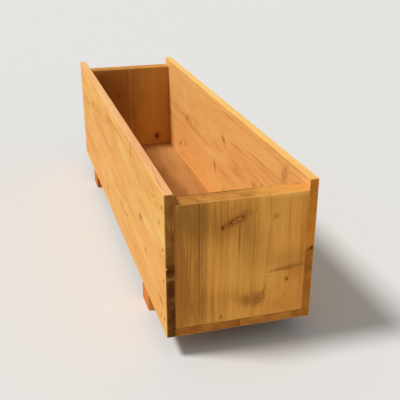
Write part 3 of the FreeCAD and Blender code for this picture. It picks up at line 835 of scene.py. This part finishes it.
endPanels = {
    "right_end_panel": {
        **panelLook, "seed": 7.7, "heart": (80, 478), "corner": -1,
        "knots": [
            (291, -12, 4.8, 3.1, 64, 0.8, 0.8, 1.0),
            (278, -41, 2.4, 1.3, 0, 0.95, 0.0, 1.0),
            (289, 69, 3, 1.5, 62, 0.3, 0.0, 0.9),
            (144, 100, 2.8, 1.2, 0, 0.7, 0.0, 1.8),
            (111, 43, 5.2, 1.2, 40, 0.6, 1.0, 2.8),
            (124, 50, 1.8, 5.2, 12, 0.36, 0.0, 0.0),
            (75, -42, 2.4, 1.5, 0, 0.4, 0.0, 1.0),
            (104, 16, 7, 2.6, 84, 0.0, 0.0, 1.0),
            (88, 98, 12, 1.8, 84, 0.0, 0.0, 0.3),
            (250, -6, 0.8, 36, 0, 0.5, 0.0, 0.0),
            (232, -89, 0.9, 110, 0, 0.5, 0.0, 0.0),
        ],
        "darker": [
            # the first patch darkens the outer face towards the front board: partly darker wood, partly
            # painted shade
            ((205, -152, 620), (420, 84, 26), 0, 1.2),
            ((200, -84, 600), (300, 18, 26), 0, 0.22),
            ((304, -70, 586), (60, 90, far), 0, 0.34),
            ((266, -38, 586), (44, 34, far), 0, 0.24),
            ((286, -28, 586), (6, 24, far), -26, 0.3),
            ((224, -34, 586), (50, 30, far), 0, 0.2),
            ((292, 4, 586), (70, 46, far), 0, 0.34),
            ((110, -104, 586), (90, 60, far), 0, 0.16),
            ((200, 130, 586), (170, 9, far), 0, 0.3),
            ((106, -50, 586), (60, 80, far), 0, 0.22),
            ((124, 0, 586), (20, 100, far), 0, 0.12),
            ((238, 40, 586), (46, 60, far), 0, 0.16),
            ((196, 80, 586), (34, 70, far), 0, 0.2),
            ((171, 104, 586), (7, 62, far), -7, 0.75),
            ((162, 116, 586), (26, 26, far), 0, 0.32),
            ((160, 66, 586), (1.6, 28, far), -8, -1.2),
            ((157.5, 60, 586), (1.2, 26, far), -8, 0.6),
            ((104, 22, 586), (22, 42, far), 10, 0.5),
            ((84, 100, 586), (26, 50, far), 0, 0.12),
            ((337, 0, 566), (10, far, 5), 0, 0.5),
            ((337, -122, 590), (12, 40, far), 0, 0.1),
            ((337, 110, 590), (12, 90, far), 0, -0.5),
        ],
        "tinted": [
            ((232, 20, 586), (80, 40, far), 0, 0.28),
            ((300, -96, 586), (90, 60, far), 0, 0.35),
            ((190, 84, 586), (34, 66, far), 0, 0.2),
        ],
        "dents": [((608, 60, 337), 5, 0.5, 0.1), ((608, -70, 337), 4, 0.4, 0.1)],
    },
    "left_end_panel": {
        **panelLook, "seed": 8.2, "heart": (-150, -690), "corner": 1, "rings": 0.3,
        "middle": (206, 156, 80), "deep": (148, 102, 44), "sideHue": (198, 143, 72),
        "knots": [
            (94, 91, 7, 1.2, 0, 0.9, 0.0, 1.4),
            (250, -40, 5, 1.6, 0, 0.35, 0.4, 1.4),
        ],
        # this patch darkens the inside face towards the front board: partly darker wood, partly painted shade
        "darker": [((220, -120, -552), (260, 200, 30), 0, 1.7)],
        "dents": [((-608, -30, 337), 5, 0.6, 0.1)],
    },
}

for node, look in endPanels.items():
    makeBoard(node, look)
print("end panels done")


# Cross feet

footLook = {
    "sheltered": [(2, 1)],
    "grain": "y across x", "slot": "foot_wood", "shine": 0.06, "tint": (150, 110, 64),
    "pale": (238, 162, 80), "middle": (224, 136, 58), "deep": (186, 100, 38), "sideHue": (216, 124, 50),
    "end": (228, 130, 50), "ringWidth": 3.0, "wander": 14, "rings": 0.4, "flames": 0.8,
    "blotches": 0.8, "streaks": 0.6, "endRings": 0.5,
}

feet = {
    "right_foot": {
        **footLook, "seed": 9.4, "heart": (430, -20),
        "knots": [(40, 400, 5, 1.4, 0, 0.6, 0.2, 1.2)],
    },
    "left_foot": {
        **footLook, "seed": 10.6, "heart": (-350, -30),
        "knots": [(-70, -380, 4, 1.4, 0, 0.6, 0.2, 1.2)],
    },
}

for node, look in feet.items():
    end = node.split("_")[0]
    holes = screwHoles(end + "_front_floor_screws") + screwHoles(end + "_back_floor_screws")
    holes += screwHoles(end + "_side_screws")
    makeBoard(node, {**look, "holes": holes})
print("feet done")


# Nails and screws keep their CAD shape

fastenerLook = {
    "nail_steel": {"fresh": (40, 28, 22), "worn": (78, 44, 26), "metal": 0.7, "rough": 0.45},
    "screw_steel": {"fresh": (196, 176, 120), "worn": (150, 132, 86), "metal": 1.0, "rough": 0.3},
}

steelForm = {
    "patchScale": (420.0, 420.0, 420.0), "wornFrom": (0.45, 0.65),
    "roughFrom": (0.35, 0.65), "rougher": 0.25,
    "markScale": (2200.0, 2200.0, 2200.0), "relief": 0.3, "reliefDepth": 0.2 * mm,
}


def steelMaterial(name, look):
    # dull steel, worn in patches, with fine marks
    material = bpy.data.materials.new(name)
    material.use_nodes = True
    tree = material.node_tree
    tree.nodes.clear()
    place = addNode(tree, "ShaderNodeTexCoord").outputs["Object"]
    patches = noise(tree, place, steelForm["patchScale"], 3.0)
    fineMarks = noise(tree, place, steelForm["markScale"])
    worn = fade(tree, patches, *steelForm["wornFrom"])
    rougher = look["rough"] + steelForm["rougher"]
    bump = addNode(tree, "ShaderNodeBump", {
        "Height": fineMarks, "Strength": steelForm["relief"], "Distance": steelForm["reliefDepth"],
    })
    shader = addNode(tree, "ShaderNodeBsdfPrincipled", {
        "Base Color": mixColour(tree, worn, paint(*look["fresh"]), paint(*look["worn"])),
        "Roughness": fade(tree, patches, *steelForm["roughFrom"], look["rough"], rougher),
        "Metallic": look["metal"], "Normal": bump.outputs[0],
    })
    addNode(tree, "ShaderNodeOutputMaterial", {"Surface": shader.outputs[0]})
    return material


steels = {slot: steelMaterial(slot, look) for slot, look in fastenerLook.items()}
slotOfKind = {"nails": "nail_steel", "screws": "screw_steel"}
for node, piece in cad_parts.items():
    kind = node.split("_")[-1]
    if kind in slotOfKind:
        piece.data.materials.clear()
        piece.data.materials.append(steels[slotOfKind[kind]])
print("fasteners done")


# Studio

studio = {
    "floorSeen": (214, 213, 210),  # to the camera
    "floorFelt": (172, 171, 168),  # to the light that it sends back
    "floorHalf": 14.0, "floorRough": 0.85, "floorShine": 0.2,
    "sky": 0.38, "backdrop": 0.8,
    "sunFrom": (-0.14, -0.56, 0.85), "sunSpread": 14.0, "sunLevel": 0.92,  # level: 1 lights white to white
    "fillFrom": (0.93, 0.36, 0.04), "fillSpread": 4.0, "fillLevel": 0.27,  # low, so it stays off the floor
}


def seenByEye(tree):
    # 1 where the camera looks, also in a mirror or through glass
    paths = addNode(tree, "ShaderNodeLightPath").outputs
    direct = maths(tree, "MAXIMUM", paths["Is Camera Ray"], paths["Is Transmission Ray"])
    return maths(tree, "MAXIMUM", direct, paths["Is Glossy Ray"])


def makeFloor():
    mesh = bpy.data.meshes.new("studioFloor")
    half = studio["floorHalf"]
    corners = [(-half, -half, 0), (half, -half, 0), (half, half, 0), (-half, half, 0)]
    mesh.from_pydata(corners, [], [(0, 1, 2, 3)])
    floor = bpy.data.objects.new("studioFloor", mesh)
    bpy.context.scene.collection.objects.link(floor)
    material = bpy.data.materials.new("floorPaint")
    material.use_nodes = True
    tree = material.node_tree
    shader = tree.nodes["Principled BSDF"]
    colour = mixColour(tree, seenByEye(tree), paint(*studio["floorFelt"]), paint(*studio["floorSeen"]))
    tree.links.new(colour, shader.inputs["Base Color"])
    shader.inputs["Roughness"].default_value = studio["floorRough"]
    shader.inputs["Specular IOR Level"].default_value = studio["floorShine"]
    mesh.materials.append(material)


def makeWorld():
    world = bpy.data.worlds.new("studioWorld")
    bpy.context.scene.world = world
    world.use_nodes = True
    tree = world.node_tree
    tree.nodes.clear()
    light = addNode(tree, "ShaderNodeBackground", {"Color": (1, 1, 1, 1), "Strength": studio["sky"]})
    behind = addNode(tree, "ShaderNodeBackground", {"Color": (1, 1, 1, 1), "Strength": studio["backdrop"]})
    shades = {0: seenByEye(tree), 1: light.outputs[0], 2: behind.outputs[0]}
    mixed = addNode(tree, "ShaderNodeMixShader", shades)
    addNode(tree, "ShaderNodeOutputWorld", {"Surface": mixed.outputs[0]})


def makeSun(name):
    lamp = bpy.data.lights.new(name, "SUN")
    lamp.angle = math.radians(studio[name + "Spread"])
    lamp.energy = studio[name + "Level"] * math.pi
    holder = bpy.data.objects.new(name, lamp)
    holder.location = studio[name + "From"]
    holder.rotation_euler = Vector(studio[name + "From"]).to_track_quat("Z", "Y").to_euler()
    bpy.context.scene.collection.objects.link(holder)


makeFloor()
makeWorld()
makeSun("sun")
makeSun("fill")
print("studio done")


# Camera, solved from the straight edges of the box in the photograph

view = {
    "place": (1.7626, -0.4196, 0.8517), "heading": 163.932, "pitch": -25.451,
    "lens": 62.336, "sensor": 36.0, "shiftUp": 0.075,
}


def makeCamera():
    data = bpy.data.cameras.new("camera")
    data.lens = view["lens"]
    data.sensor_width = view["sensor"]
    data.shift_y = view["shiftUp"]
    camera = bpy.data.objects.new("camera", data)
    camera.location = view["place"]
    tilt = math.radians(90 + view["pitch"])
    camera.rotation_euler = Euler((tilt, 0.0, math.radians(view["heading"] - 90)))
    bpy.context.scene.collection.objects.link(camera)
    bpy.context.scene.camera = camera


makeCamera()
bpy.context.scene.view_settings.view_transform = "Standard"
